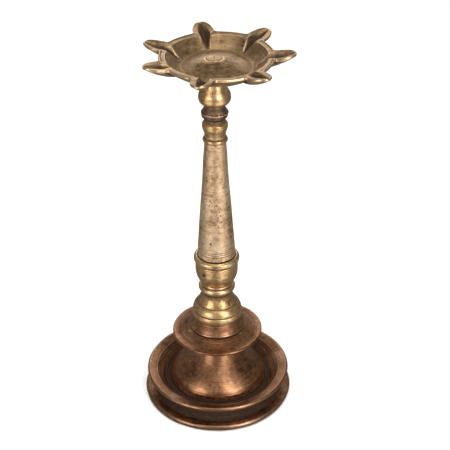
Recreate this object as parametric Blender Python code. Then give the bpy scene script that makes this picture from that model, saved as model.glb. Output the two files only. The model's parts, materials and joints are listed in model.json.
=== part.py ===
"""Seven-wick standing oil lamp, cast and turned in brass.

A hollow flared foot carries a drip tray with a bell in its middle. A drip saucer and a seat
ring lie on the bell, and the column screws down through them into the bell's neck. The
column is a turned baluster and a tapered shaft, pinned together. Four turned beads are
clamped on top of the shaft by the rod of the oil dish, which screws into the shaft.
Metres, +Z up, origin on the lamp's axis at the level it stands on.
"""

import math

import bmesh
import bpy
from mathutils import Matrix, Vector

MM = 0.001
GAP = 0.3 * MM                     # left between pieces that touch on the real lamp

# Levels along the axis: where one piece ends and the next one sits on it.
FOOT_TOP = 18.2 * MM
BELL_TOP = 66.0 * MM
SAUCER_TOP = 74.7 * MM
SEAT_TOP = 85.3 * MM
CUP_TOP = 152.6 * MM
SHAFT_TOP = 266.6 * MM
COLLAR_TOP = 273.8 * MM
BEAD_TOP = 288.0 * MM
DARK_RING_TOP = 301.8 * MM
KNOP_TOP = 326.0 * MM

# Radii of the turned pieces.
FOOT_RADIUS = 70.0 * MM
WAIST_RADIUS = 59.0 * MM
TRAY_RADIUS = 67.8 * MM
BELL_RADIUS = 45.8 * MM
BELL_NECK_RADIUS = 17.0 * MM
SAUCER_RADIUS = 42.2 * MM
SEAT_RADIUS = 26.3 * MM
BALUSTER_RADIUS = 23.4 * MM
CUP_RADIUS = 19.5 * MM
CUP_RIM_RADIUS = 20.85 * MM
SHAFT_FOOT_RADIUS = 17.3 * MM
SHAFT_TOP_RADIUS = 9.5 * MM
KNOP_RADIUS = 13.9 * MM

# Screws, tenon and pin that hold the pieces together.
BASE_SCREW_RADIUS = 8.0 * MM
BASE_SCREW_FOOT = 50.5 * MM        # its lower end, flush with the boss inside the bell
BASE_SCREW_HEAD = 103.0 * MM       # its upper end, inside the baluster
BOSS_RADIUS = 14.0 * MM            # solid boss under the bell's neck, which holds the thread
TENON_RADIUS = 13.0 * MM
TENON_FOOT = 130.0 * MM
PIN_RADIUS = 1.7 * MM
PIN_HEIGHT = 138.7 * MM
PIN_BEARING = math.radians(234)    # direction of the cross pin, seen from above
ROD_RADIUS = 4.0 * MM
ROD_FOOT = 240.0 * MM
RIVET_RADIUS = 6.9 * MM            # the rod's riveted head in the middle of the dish
RIVET_THICKNESS = 1.3 * MM

# Oil dish.
RIM_RADIUS = 48.1 * MM
RIM_TOP = 345.5 * MM
RIM_THICKNESS = 2.2 * MM
LEDGE_RADIUS = 42.5 * MM           # inner edge of the flat rim band
LEDGE_DROP = 1.2 * MM
FLOOR_RADIUS = 31.0 * MM
FLOOR_LEVEL = 335.2 * MM
MOUND_RADIUS = 29.5 * MM
MOUND_TOP = 343.3 * MM
DISH_BOSS_RADIUS = 8.5 * MM
BELLY_RADIUS = 30.0 * MM           # where the underside turns up from the boss to the rim
BELLY_LEVEL = 331.2 * MM

# Wick spouts, each a few degrees out of its even place round the rim, as set by hand.
SPOUT_COUNT = 7
FIRST_SPOUT = math.radians(153.3)
SPOUT_ERRORS = [math.radians(error) for error in (6, 0, 0, 1, -1, -4, 1)]
SPOUT_TIP = 65.0 * MM              # distance of the tip from the axis
SPOUT_HALF_WIDTH = 9.0 * MM
SPOUT_ROOT = 50.0 * MM             # where the straight sides turn into the round end
SPOUT_LIFT = 3.1 * MM              # how far the tip stands above the rim
CHANNEL_START = 33.0 * MM          # where the wick channel leaves the dish floor
CHANNEL_HALF_WIDTH = 4.4 * MM
CHANNEL_TIP_HALF_WIDTH = 1.6 * MM
WING_SLOPE = 0.8 * MM              # how far the wings dip towards the channel
HULL_THICKNESS = 2.2 * MM

# The bowl was cast a little askew on its hub.
ASKEW_SHIFT = 2.2 * MM             # its middle stands this far towards +X
ASKEW_SLOPE = 0.035                # and it leans towards -Y
ASKEW_START = 10.0 * MM            # radius where the hub ends
ASKEW_FULL = 22.0 * MM             # radius from where all of the shift and lean counts

COARSE = 24                        # sides of the slim turned pieces
FINE = 32                          # sides of the wide ones
CURVE_STEPS = 5


# ---------------------------------------------------------------- outlines

def bead(start, end, bulge, steps=CURVE_STEPS):
    """Half-round stretch between two outline points, standing out by bulge (in, if negative)."""
    along = Vector(end) - Vector(start)
    outward = Vector((along.y, -along.x)).normalized()
    points = []
    for step in range(steps + 1):
        angle = math.pi * step / steps
        point = Vector(start) + along * (1 - math.cos(angle)) / 2 + outward * bulge * math.sin(angle)
        points.append((point.x, point.y))
    return points


def sweep(start, first_handle, second_handle, end, steps=CURVE_STEPS):
    """Points of one Bezier curve."""
    points = []
    for step in range(steps + 1):
        t = step / steps
        s = 1 - t
        weights = (s ** 3, 3 * s * s * t, 3 * s * t * t, t ** 3)
        corners = (start, first_handle, second_handle, end)
        points.append(tuple(sum(w * c[axis] for w, c in zip(weights, corners)) for axis in (0, 1)))
    return points


def scaled(points):
    """Outline points given in millimetres, in metres."""
    return [(radius * MM, height * MM) for radius, height in points]


def smooth_step(value, low, high):
    """0 below low, 1 above high, and an even rise between them."""
    t = min(max((value - low) / (high - low), 0), 1)
    return t * t * (3 - 2 * t)


def mix(first, second, share):
    """The value that lies share of the way from first to second."""
    return first + (second - first) * share


# ---------------------------------------------------------------- building

def clear_scene():
    """Remove the objects that Blender starts with."""
    for item in list(bpy.data.objects):
        bpy.data.objects.remove(item)


def metal(name, color, roughness):
    """Principled metal of one colour."""
    material = bpy.data.materials.new(name)
    material.use_nodes = True
    shader = material.node_tree.nodes["Principled BSDF"]
    shader.inputs["Base Color"].default_value = (*color, 1)
    shader.inputs["Metallic"].default_value = 1
    shader.inputs["Roughness"].default_value = roughness
    return material


def add_object(name, shape, material):
    """Link a finished bmesh to the scene as a named object."""
    mesh = bpy.data.meshes.new(name)
    bmesh.ops.recalc_face_normals(shape, faces=shape.faces)
    shape.to_mesh(mesh)
    shape.free()
    mesh.materials.append(material)
    mesh.shade_smooth()
    mesh.set_sharp_from_angle(angle=math.radians(35))
    item = bpy.data.objects.new(name, mesh)
    bpy.context.collection.objects.link(item)
    return item


def turned(name, outline, material, sides=COARSE):
    """Spin a (radius, height) outline round the axis: a closed one, or one from axis to axis."""
    shape = bmesh.new()
    points = [shape.verts.new((radius, 0, height)) for radius, height in outline]
    edges = [shape.edges.new(pair) for pair in zip(points, points[1:])]
    if outline[0][0] > 0:
        edges.append(shape.edges.new((points[-1], points[0])))
    bmesh.ops.spin(shape, geom=points + edges, cent=(0, 0, 0), axis=(0, 0, 1), angle=math.tau,
                   steps=sides, use_merge=True)
    bmesh.ops.remove_doubles(shape, verts=shape.verts, dist=0.001 * MM)
    return add_object(name, shape, material)


def cross_pin(name, radius, half_length, material):
    """Straight round pin across the axis, at the cross pin's height and bearing."""
    outline = [(0, -half_length), (radius, -half_length), (radius, half_length), (0, half_length)]
    pin = turned(name, outline, material, sides=12)
    lay_down = Matrix.Rotation(PIN_BEARING, 4, "Z") @ Matrix.Rotation(math.pi / 2, 4, "Y")
    pin.matrix_world = Matrix.Translation((0, 0, PIN_HEIGHT)) @ lay_down
    return pin


def drill(item, cutter):
    """Cut the cutter out of the item with a Boolean modifier."""
    cut = item.modifiers.new("pin hole", "BOOLEAN")
    cut.operation = "DIFFERENCE"
    cut.object = cutter
    cutter.hide_render = True
    cutter.display_type = "WIRE"


# ---------------------------------------------------------------- base

def make_foot(material):
    """Flared foot, open underneath, with a plain drum waist that carries the tray."""
    edge = FOOT_RADIUS - 2.8 * MM
    foot = [(62.5 * MM, 0)]
    foot += bead((edge, 0), (edge, 6 * MM), FOOT_RADIUS - edge, steps=4)
    foot += sweep((65 * MM, 6.6 * MM), (62 * MM, 6.8 * MM), (59.5 * MM, 7 * MM), (WAIST_RADIUS, 9.5 * MM),
                  steps=3)
    foot += [(WAIST_RADIUS, FOOT_TOP), (WAIST_RADIUS - 3.4 * MM, FOOT_TOP)]
    foot += scaled([(55.6, 6.5), (61.5, 3.6)])
    return turned("foot_plate", foot, material, sides=FINE)


def make_tray(material):
    """Drip tray with a rolled lip, and the bell that rises from its middle to a tapped neck."""
    seat = FOOT_TOP + GAP
    neck = BELL_NECK_RADIUS
    tray = [(55.2 * MM, seat), (60.5 * MM, seat), (64.5 * MM, 20.8 * MM)]
    tray += bead((65.6 * MM, 21.2 * MM), (65.6 * MM, 25.6 * MM), TRAY_RADIUS - 65.6 * MM, steps=4)
    tray += scaled([(58.4, 23.2), (49.8, 14.9), (47.4, 13.6)])
    tray += sweep((BELL_RADIUS, 14.2 * MM), (46 * MM, 34 * MM), (18 * MM, 34 * MM), (neck, 60 * MM), steps=7)
    tray += [(neck + 0.8 * MM, BELL_TOP), (BASE_SCREW_RADIUS + GAP, BELL_TOP)]
    tray += [(BASE_SCREW_RADIUS + GAP, BASE_SCREW_FOOT), (BOSS_RADIUS, BASE_SCREW_FOOT)]
    tray += sweep((15.5 * MM, 46 * MM), (18 * MM, 31 * MM), (41 * MM, 32 * MM), (43 * MM, 12.5 * MM), steps=6)
    tray += scaled([(46, 10.9), (49, 11.4)])
    return turned("drip_tray", tray, material, sides=FINE)


def make_saucer(material):
    """Shallow umbrella-shaped saucer that lies on the bell's neck."""
    seat = BELL_TOP + GAP
    bore = BASE_SCREW_RADIUS + GAP
    lip = SAUCER_RADIUS
    saucer = [(bore, seat), (18.6 * MM, seat), (20.5 * MM, 69.6 * MM), (32 * MM, 68.2 * MM)]
    saucer += bead((lip - 1.4 * MM, 66.4 * MM), (lip - 1.4 * MM, 69.2 * MM), 1.4 * MM, steps=4)
    saucer += scaled([(37, 69.4), (31, 71.4), (26.6, 73.6), (24.4, 73.6)])
    saucer += [(24.4 * MM, SAUCER_TOP), (bore, SAUCER_TOP)]
    return turned("drip_saucer", saucer, material, sides=FINE)


def make_seat_ring(material):
    """Concave ring with a sharp lower edge, between the saucer and the column."""
    seat = SAUCER_TOP + GAP
    bore = BASE_SCREW_RADIUS + GAP
    ring = [(bore, seat), (SEAT_RADIUS - 0.6 * MM, seat), (SEAT_RADIUS, seat + 0.7 * MM)]
    ring += sweep((25.4 * MM, 77.4 * MM), (23.6 * MM, 79 * MM), (22.9 * MM, 81 * MM), (22.8 * MM, SEAT_TOP),
                  steps=4)
    ring += [(bore, SEAT_TOP)]
    return turned("seat_ring", ring, material, sides=COARSE)


# ---------------------------------------------------------------- column

def make_baluster(material):
    """Foot moulding, two-tier bulb, torus and the cup that holds the shaft's tenon."""
    seat = SEAT_TOP + GAP
    bore = BASE_SCREW_RADIUS + GAP
    socket = TENON_RADIUS + GAP
    baluster = [(0, BASE_SCREW_HEAD + GAP), (bore, BASE_SCREW_HEAD + GAP), (bore, seat)]
    baluster += bead((22.3 * MM, seat), (22.3 * MM, 92.9 * MM), BALUSTER_RADIUS - 22.3 * MM, steps=4)
    baluster += sweep((22.7 * MM, 93.7 * MM), (22.2 * MM, 96.6 * MM), (20.3 * MM, 98.9 * MM),
                      (18.5 * MM, 100.4 * MM), steps=3)
    baluster += sweep((17.9 * MM, 101 * MM), (17.2 * MM, 103.8 * MM), (15.2 * MM, 106.5 * MM),
                      (14.2 * MM, 110 * MM), steps=3)
    baluster += bead((14.3 * MM, 114.4 * MM), (14.6 * MM, 121 * MM), 2.5 * MM, steps=4)
    baluster += [(14.5 * MM, 123.4 * MM)]
    baluster += sweep((16.2 * MM, 126 * MM), (18.2 * MM, 129 * MM), (CUP_RADIUS, 132.5 * MM),
                      (CUP_RADIUS, 138.5 * MM), steps=3)
    lip = 19.4 * MM
    baluster += bead((lip, 145.6 * MM), (lip, 151.8 * MM), CUP_RIM_RADIUS - lip, steps=4)
    baluster += [(lip - 0.4 * MM, CUP_TOP), (socket, CUP_TOP), (socket, TENON_FOOT - GAP)]
    baluster += [(0, TENON_FOOT - GAP)]
    return turned("baluster", baluster, material)


def make_base_screw(material):
    """Screw fixed in the baluster, which turns into the bell's neck."""
    screw = [(0, BASE_SCREW_FOOT), (BASE_SCREW_RADIUS - 1 * MM, BASE_SCREW_FOOT)]
    screw += [(BASE_SCREW_RADIUS, BASE_SCREW_FOOT + 1.2 * MM), (BASE_SCREW_RADIUS, BASE_SCREW_HEAD)]
    screw += [(0, BASE_SCREW_HEAD)]
    return turned("base_screw", screw, material)


def make_shaft(material):
    """Tapered shaft with a tenon below and a blind tapped hole for the dish's rod above."""
    seat = CUP_TOP + GAP
    bore = ROD_RADIUS + GAP
    hole_foot = ROD_FOOT - 1.5 * MM
    shaft = [(0, TENON_FOOT), (TENON_RADIUS, TENON_FOOT), (TENON_RADIUS, seat), (SHAFT_FOOT_RADIUS, seat)]
    shaft += sweep((SHAFT_FOOT_RADIUS, 154.2 * MM), (15.8 * MM, 178 * MM), (12.1 * MM, 222 * MM),
                   (SHAFT_TOP_RADIUS, 265.4 * MM), steps=4)
    shaft += [(SHAFT_TOP_RADIUS - 0.3 * MM, SHAFT_TOP), (bore, SHAFT_TOP), (bore, hole_foot), (0, hole_foot)]
    return turned("shaft", shaft, material)


def make_neck_collar(material):
    """Short round collar on top of the shaft."""
    bore = ROD_RADIUS + GAP
    seat = SHAFT_TOP + GAP
    collar = [(bore, seat), (9.4 * MM, seat)]
    collar += bead((9.8 * MM, seat + 0.2 * MM), (9.6 * MM, 272.4 * MM), 1.1 * MM, steps=4)
    collar += [(9.4 * MM, COLLAR_TOP), (bore, COLLAR_TOP)]
    return turned("neck_collar", collar, material)


def make_neck_bead(material):
    """Bead that widens upwards from the collar."""
    bore = ROD_RADIUS + GAP
    bead_outline = [(bore, COLLAR_TOP + GAP), (9.7 * MM, COLLAR_TOP + GAP)]
    bead_outline += sweep((10.1 * MM, 276 * MM), (10.9 * MM, 278.5 * MM), (12.9 * MM, 283.4 * MM),
                          (9.7 * MM, 286.3 * MM))
    bead_outline += [(8.8 * MM, BEAD_TOP), (bore, BEAD_TOP)]
    return turned("neck_bead", bead_outline, material)


def make_neck_ring(material):
    """Dark ring between the bead and the knop."""
    bore = ROD_RADIUS + GAP
    seat = BEAD_TOP + GAP
    ring = [(bore, seat), (8.9 * MM, seat)]
    ring += scaled([(10.3, 289.8), (11.2, 291), (11.5, 292.6), (11.3, 295.4), (10.5, 297.4), (9.2, 298.8), (9, 300.4)])
    ring += [(9.5 * MM, DARK_RING_TOP), (bore, DARK_RING_TOP)]
    return turned("neck_ring", ring, material)


def make_knop(material):
    """Onion-shaped knop under the dish."""
    bore = ROD_RADIUS + GAP
    seat = DARK_RING_TOP + GAP
    knop = [(bore, seat), (9.7 * MM, seat)]
    knop += sweep((10.4 * MM, 302.5 * MM), (12.8 * MM, 303.4 * MM), (KNOP_RADIUS, 305.4 * MM),
                  (KNOP_RADIUS, 308.6 * MM), steps=3)
    knop += sweep((13.5 * MM, 311.2 * MM), (12.2 * MM, 315 * MM), (8 * MM, 319 * MM),
                  (7.2 * MM, KNOP_TOP - 0.5 * MM), steps=5)
    knop += [(7.2 * MM, KNOP_TOP), (bore, KNOP_TOP)]
    return turned("knop", knop, material)


# ---------------------------------------------------------------- oil dish

def dish_top(radius):
    """Height of the dish's upper surface without spouts: mound, floor, wall and rim band."""
    if radius < MOUND_RADIUS:
        return mix(MOUND_TOP, FLOOR_LEVEL, (radius / MOUND_RADIUS) ** 1.5)
    if radius < FLOOR_RADIUS:
        return FLOOR_LEVEL
    if radius < LEDGE_RADIUS:
        climb = (radius - FLOOR_RADIUS) / (LEDGE_RADIUS - FLOOR_RADIUS)
        return mix(FLOOR_LEVEL, RIM_TOP - LEDGE_DROP, climb ** 1.15)
    return mix(RIM_TOP - LEDGE_DROP, RIM_TOP, (radius - LEDGE_RADIUS) / (RIM_RADIUS - LEDGE_RADIUS))


def dish_underside(radius):
    """Height of the dish's lower surface without spouts."""
    if radius < BELLY_RADIUS:
        spread = max((radius - DISH_BOSS_RADIUS) / (BELLY_RADIUS - DISH_BOSS_RADIUS), 0)
        return mix(KNOP_TOP + GAP, BELLY_LEVEL, spread ** 0.5)
    climb = (radius - BELLY_RADIUS) / (RIM_RADIUS - BELLY_RADIUS)
    return mix(BELLY_LEVEL, RIM_TOP - RIM_THICKNESS, climb ** 1.25)


def channel_floor(along):
    """Height of the wick channel's bottom line."""
    climb = max((along - CHANNEL_START) / (SPOUT_TIP - CHANNEL_START), 0)
    return mix(FLOOR_LEVEL, RIM_TOP + SPOUT_LIFT - 0.8 * MM, climb ** 1.8)


def spout_edge(along):
    """Height of a spout's outer edge, which curves up towards the tip."""
    climb = max((along - RIM_RADIUS) / (SPOUT_TIP - RIM_RADIUS), 0)
    return RIM_TOP + SPOUT_LIFT * climb ** 1.5


def spout_half_width(along):
    """Half the width of a spout's outline."""
    reach = min(max((along - SPOUT_ROOT) / (SPOUT_TIP - SPOUT_ROOT), 0), 1)
    return max(SPOUT_HALF_WIDTH * math.sqrt(1 - reach * reach), 0.1 * MM)


def channel_half_width(along):
    """Half the width of the wick channel at its crests."""
    return mix(CHANNEL_HALF_WIDTH, CHANNEL_TIP_HALF_WIDTH, smooth_step(along, RIM_RADIUS, SPOUT_TIP))


def upper_surface(radius, along, across):
    """Height of the top at a point: the dish or a spout's wings, less the wick channel."""
    edge = spout_edge(along)
    crest = edge - WING_SLOPE
    half_channel = channel_half_width(along)
    wing_share = (across - half_channel) / max(spout_half_width(along) - half_channel, 0.1 * MM)
    wing = mix(crest, edge, min(max(wing_share, 0), 1))
    surface = mix(dish_top(radius), wing, smooth_step(along, LEDGE_RADIUS, SPOUT_ROOT))
    if along < CHANNEL_START:
        return surface
    bottom = channel_floor(along)
    channel = bottom + (crest - bottom) * across / half_channel
    return min(surface, channel)


def lower_surface(radius, along, across):
    """Height of the underside at a point: the dish's bowl or a spout's keeled hull."""
    bowl = dish_underside(min(radius, RIM_RADIUS))
    if along < CHANNEL_START:
        return bowl
    keel = channel_floor(along) - HULL_THICKNESS
    lip = spout_edge(along) - RIM_THICKNESS
    share = min(across / spout_half_width(along), 1)
    hull = mix(keel, lip, share ** 1.5)
    return mix(min(bowl, hull), hull, smooth_step(radius, RIM_RADIUS, SPOUT_ROOT))


def spout_outline():
    """Half of a spout's outline from the tip to the rim, as (along, across) points."""
    outline = []
    for degrees in (0, 18, 38, 60, 84):
        angle = math.radians(degrees)
        along = SPOUT_ROOT + (SPOUT_TIP - SPOUT_ROOT) * math.cos(angle)
        outline.append((along, SPOUT_HALF_WIDTH * math.sin(angle)))
    root_angle = math.radians(13.5)
    outline.append((RIM_RADIUS * math.cos(root_angle), RIM_RADIUS * math.sin(root_angle)))
    return outline


def dish_columns():
    """Rim points round the whole dish: for each, its distance, bearing and spout's bearing."""
    bearings = []
    for index, error in enumerate(SPOUT_ERRORS):
        bearings.append(FIRST_SPOUT + index * math.tau / SPOUT_COUNT + error)
    columns = []
    for index, bearing in enumerate(bearings):
        following = bearings[(index + 1) % SPOUT_COUNT] + (math.tau if index + 1 == SPOUT_COUNT else 0)
        half = [(math.hypot(*point), math.atan2(point[1], point[0])) for point in spout_outline()]
        for distance, turn in reversed(half[1:]):
            columns.append((distance, bearing - turn, bearing))
        for distance, turn in half:
            columns.append((distance, bearing + turn, bearing))
        root = half[-1][1]
        free = following - bearing - 2 * root
        for share, owner in ((1 / 3, bearing), (2 / 3, following)):
            columns.append((RIM_RADIUS, bearing + root + free * share, owner))
    return columns


def askew(x, y, z):
    """A point of the true dish, moved to where it is on the askew one."""
    share = smooth_step(math.hypot(x, y), ASKEW_START, ASKEW_FULL)
    return x + ASKEW_SHIFT * share, y, z + ASKEW_SLOPE * y * share


def level(surface, radius, turn):
    """Height of a surface at a radius, turned by an angle away from its spout's middle."""
    return surface(radius, radius * math.cos(turn), abs(radius * math.sin(turn)))


def make_dish(material):
    """Dish and its seven spouts as one casting, with a countersunk hole for the rod."""
    bore = ROD_RADIUS + GAP
    sink_radius = RIVET_RADIUS + GAP
    sink_floor = MOUND_TOP - RIVET_THICKNESS - GAP
    inner = [12 * MM, 19 * MM, 25 * MM, MOUND_RADIUS, CHANNEL_START, 38 * MM]
    outer_shares = (0, 0.35, 0.7, 1)
    underside = [13 * MM, 21 * MM, BELLY_RADIUS, 36 * MM]
    shape = bmesh.new()
    loops = []
    for distance, bearing, spout in dish_columns():
        outer = [mix(LEDGE_RADIUS, distance, share) for share in outer_shares]
        stations = [(bore, KNOP_TOP + GAP), (bore, sink_floor), (sink_radius, sink_floor)]
        stations += [(sink_radius, dish_top(sink_radius))]
        turn = bearing - spout
        stations += [(radius, level(upper_surface, radius, turn)) for radius in inner + outer]
        stations += [(radius, level(lower_surface, radius, turn)) for radius in reversed(outer)]
        stations += [(radius, level(lower_surface, radius, turn)) for radius in reversed(underside)]
        stations += [(DISH_BOSS_RADIUS, KNOP_TOP + GAP)]
        points = [askew(radius * math.cos(bearing), radius * math.sin(bearing), height)
                  for radius, height in stations]
        loops.append([shape.verts.new(point) for point in points])
    for left, right in zip(loops, loops[1:] + loops[:1]):
        for index in range(len(left)):
            shape.faces.new((left[index - 1], right[index - 1], right[index], left[index]))
    return add_object("oil_dish", shape, material)


def make_neck_rod(material):
    """Rod through the knop and beads, riveted over in the middle of the dish."""
    stations = [(0, ROD_FOOT), (ROD_RADIUS - 0.6 * MM, ROD_FOOT), (ROD_RADIUS, ROD_FOOT + 0.8 * MM)]
    stations += [(ROD_RADIUS, MOUND_TOP - RIVET_THICKNESS), (RIVET_RADIUS, MOUND_TOP - RIVET_THICKNESS)]
    stations += [(RIVET_RADIUS, MOUND_TOP - 0.6 * MM), (RIVET_RADIUS / 2, MOUND_TOP), (0, MOUND_TOP)]
    return turned("neck_rod", stations, material)


# ---------------------------------------------------------------- assembly

def main():
    clear_scene()
    base_brown = metal("base brown", (0.22, 0.115, 0.07), 0.4)
    column_gold = metal("column gold", (0.48, 0.33, 0.16), 0.36)
    dish_gold = metal("dish gold", (0.36, 0.24, 0.13), 0.42)
    dark_brown = metal("dark brown", (0.14, 0.08, 0.055), 0.5)
    bare_brass = metal("bare brass", (0.55, 0.4, 0.2), 0.35)

    make_foot(base_brown)
    make_tray(base_brown)
    make_saucer(base_brown)
    make_seat_ring(base_brown)

    baluster = make_baluster(column_gold)
    shaft = make_shaft(column_gold)
    pin_reach = CUP_RADIUS - 0.3 * MM
    cross_pin("shaft_pin", PIN_RADIUS, pin_reach, dark_brown)
    pin_hole = cross_pin("pin_hole", PIN_RADIUS + GAP, CUP_RADIUS + 3 * MM, dark_brown)
    drill(baluster, pin_hole)
    drill(shaft, pin_hole)
    make_base_screw(bare_brass)

    make_neck_collar(column_gold)
    make_neck_bead(column_gold)
    make_neck_ring(dark_brown)
    make_knop(column_gold)
    make_neck_rod(bare_brass)
    make_dish(dish_gold)


main()
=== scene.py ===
import json
import math

import bpy
import numpy as np
from mathutils import Matrix, Vector, noise

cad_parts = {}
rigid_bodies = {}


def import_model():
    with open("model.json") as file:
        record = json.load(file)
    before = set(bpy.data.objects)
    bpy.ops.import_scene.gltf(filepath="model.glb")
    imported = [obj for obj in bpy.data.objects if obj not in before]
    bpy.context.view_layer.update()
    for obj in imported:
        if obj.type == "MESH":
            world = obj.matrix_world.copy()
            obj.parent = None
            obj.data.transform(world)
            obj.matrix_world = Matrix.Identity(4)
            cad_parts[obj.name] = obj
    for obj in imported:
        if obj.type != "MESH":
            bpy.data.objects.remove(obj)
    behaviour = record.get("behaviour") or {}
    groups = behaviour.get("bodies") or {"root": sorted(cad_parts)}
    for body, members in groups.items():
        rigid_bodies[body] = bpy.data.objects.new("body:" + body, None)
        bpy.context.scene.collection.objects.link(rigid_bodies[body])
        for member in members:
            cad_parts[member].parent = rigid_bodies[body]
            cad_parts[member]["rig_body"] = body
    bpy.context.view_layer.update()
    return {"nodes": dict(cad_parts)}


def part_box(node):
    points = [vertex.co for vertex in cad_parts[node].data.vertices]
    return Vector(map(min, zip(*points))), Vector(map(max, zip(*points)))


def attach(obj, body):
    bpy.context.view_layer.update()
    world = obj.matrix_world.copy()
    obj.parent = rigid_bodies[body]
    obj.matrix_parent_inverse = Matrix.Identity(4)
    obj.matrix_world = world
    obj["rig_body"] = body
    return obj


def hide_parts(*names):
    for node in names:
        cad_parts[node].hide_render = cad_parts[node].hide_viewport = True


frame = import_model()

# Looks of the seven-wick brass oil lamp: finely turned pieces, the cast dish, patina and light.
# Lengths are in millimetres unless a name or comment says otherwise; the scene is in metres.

MM = 0.001
GAP = 0.3                   # gap that the CAD solids keep
SEAM = 0.05                 # what is left of it between the fine pieces
FINE_STEP = 0.45            # between outline points where the surface shows
HIDDEN_STEP = 2.5           # and where it doesn't
WIDE_SIDES = 144
SLIM_SIDES = 96
CREASE_PASSES = 8           # rounds of averaging that tell an edge or a groove from its surroundings
HOLLOW_PASSES = 140         # and a whole hollow
SCREW_BORE = 8.3            # radius of the hole round the base screw
ROD_BORE = 4.3              # and round the neck rod


def span(node):
    """Lowest and highest level of a CAD node."""
    low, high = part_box(node)
    return low[2] / MM, high[2] / MM


def reach(node):
    """Outer radius of a round CAD node."""
    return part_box(node)[1][0] / MM


def mix(first, second, share):
    return first + (second - first) * share


def smooth_step(value, low, high):
    t = np.clip((value - low) / (high - low), 0, 1)
    return t * t * (3 - 2 * t)


def ridge(value, place, width):
    """Bell curve of height 1."""
    return np.exp(-((value - place) / width) ** 2)


# ---------------------------------------------------------------- material nodes

def add_node(tree, kind, inputs=(), **settings):
    """Add a shader node; inputs maps a socket's name or number to a value or another node's output."""
    node = tree.nodes.new(kind)
    for name, value in settings.items():
        setattr(node, name, value)
    for key, value in dict(inputs).items():
        if isinstance(value, bpy.types.NodeSocket):
            tree.links.new(value, node.inputs[key])
        else:
            node.inputs[key].default_value = value
    return node


def calc(tree, operation, first, second=0.0, clamp=False):
    """Output of a Math node."""
    return add_node(tree, "ShaderNodeMath", {0: first, 1: second}, operation=operation,
                    use_clamp=clamp).outputs[0]


def weighted(tree, *terms):
    """Sum of (socket, weight) terms."""
    total = calc(tree, "MULTIPLY", *terms[0])
    for socket, weight in terms[1:]:
        total = calc(tree, "ADD", total, calc(tree, "MULTIPLY", socket, weight))
    return total


def between(tree, value, low, high, to_low=0.0, to_high=1.0):
    """Value mapped smoothly from low..high to to_low..to_high."""
    inputs = {"Value": value, "From Min": low, "From Max": high, "To Min": to_low, "To Max": to_high}
    return add_node(tree, "ShaderNodeMapRange", inputs, interpolation_type="SMOOTHSTEP").outputs[0]


def attribute(tree, name):
    """A float that the mesh carries at each vertex."""
    return add_node(tree, "ShaderNodeAttribute", attribute_name=name).outputs["Fac"]


def grain(tree, place, size, detail=3.0):
    """Noise from 0 to 1 whose blobs are about size wide."""
    inputs = {"Vector": place, "Scale": 1 / size, "Detail": detail, "Roughness": 0.6}
    return add_node(tree, "ShaderNodeTexNoise", inputs).outputs["Fac"]


def blend(tree, share, first, second):
    """Colour mixed from first to second."""
    inputs = {"Factor": share, 6: first, 7: second}
    return add_node(tree, "ShaderNodeMix", inputs, data_type="RGBA").outputs[2]


def stretched(tree, place, scale):
    """Place with its axes scaled."""
    return add_node(tree, "ShaderNodeVectorMath", {0: place, 1: scale}, operation="MULTIPLY").outputs[0]


def wear_patterns(tree):
    """Noise that every finish shares: patches, mottle, specks, turned lines, pits and upright marks."""
    coordinates = add_node(tree, "ShaderNodeTexCoord").outputs["Object"]
    place = stretched(tree, coordinates, (1 / MM,) * 3)
    path, grime_and_shade = attribute(tree, "path"), attribute(tree, "grime_and_shade")
    patches, mottle = grain(tree, place, 26, 4), grain(tree, place, 3.5, 5)
    speck = grain(tree, place, 0.7, 2)
    along = add_node(tree, "ShaderNodeCombineXYZ", {"X": path}).outputs[0]
    winding = add_node(tree, "ShaderNodeVectorMath", {0: along, 1: stretched(tree, place, (0.03,) * 3)},
                       operation="ADD").outputs[0]
    turning = grain(tree, winding, 0.9, 3)

    clusters = between(tree, grain(tree, place, 11, 2), 0.5, 0.64)
    pit_field = between(tree, grain(tree, stretched(tree, place, (1, 1, 0.6)), 1.15, 2), 0.56, 0.68)
    pits = calc(tree, "MULTIPLY", pit_field, weighted(tree, (clusters, 0.85), (mottle, 0.25)))
    stroke_field = between(tree, grain(tree, stretched(tree, place, (1, 1, 0.22)), 1.5, 3), 0.42, 0.62)
    marks = calc(tree, "MULTIPLY", stroke_field, grime_and_shade)
    return patches, mottle, speck, turning, pits, marks


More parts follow.
